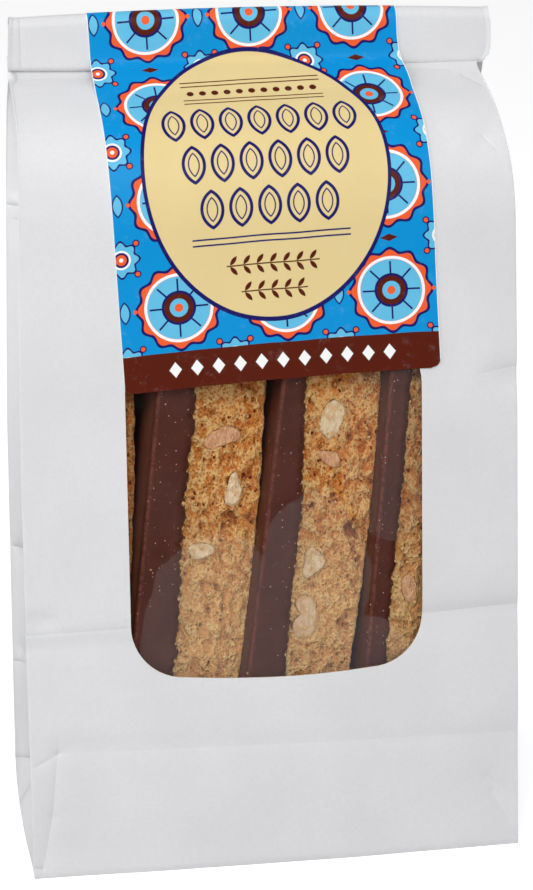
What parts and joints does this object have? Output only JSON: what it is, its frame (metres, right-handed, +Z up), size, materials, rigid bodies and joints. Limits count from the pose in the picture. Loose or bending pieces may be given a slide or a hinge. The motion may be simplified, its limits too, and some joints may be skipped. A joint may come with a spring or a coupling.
{
  "type": "paper bag of biscotti",
  "caption": "Standing white paper bakery bag with its top folded forward, a label over the fold and a clear window showing chocolate-dipped almond biscotti.",
  "frame": {"origin": "on the surface the bag stands on, under the middle of the box round the whole bag", "axes": "+Z up the standing bag, -Y towards the front with the window, +X to the right when the front is looked at"},
  "size_m": [0.1218, 0.0777, 0.2057],
  "materials": {
    "bag_paper": "smooth white kraft paper, matte with soft creases",
    "clear_film": "thin clear film, glossy with hazy ripples",
    "label_print": "satin coated label paper, printed in blue, cream, brown and orange",
    "crumb": "dry porous baked crumb, golden brown",
    "chocolate": "dark chocolate, semi-gloss",
    "almond": "baked almond, cream coloured cut face"
  },
  "bodies": {
    "root": {"bag": "bag_paper", "window_film": "clear_film", "label": "label_print", "biscotto_1": "crumb", "biscotto_2": "crumb", "biscotto_3": "crumb", "biscotto_4": "crumb", "chocolate_1": "chocolate", "chocolate_2": "chocolate", "chocolate_3": "chocolate", "chocolate_4": "chocolate", "almond_2_1": "almond", "almond_2_2": "almond", "almond_2_3": "almond", "almond_3_1": "almond", "almond_3_2": "almond", "almond_3_3": "almond", "almond_3_4": "almond", "almond_4_1": "almond"}
  },
  "joints": []
}
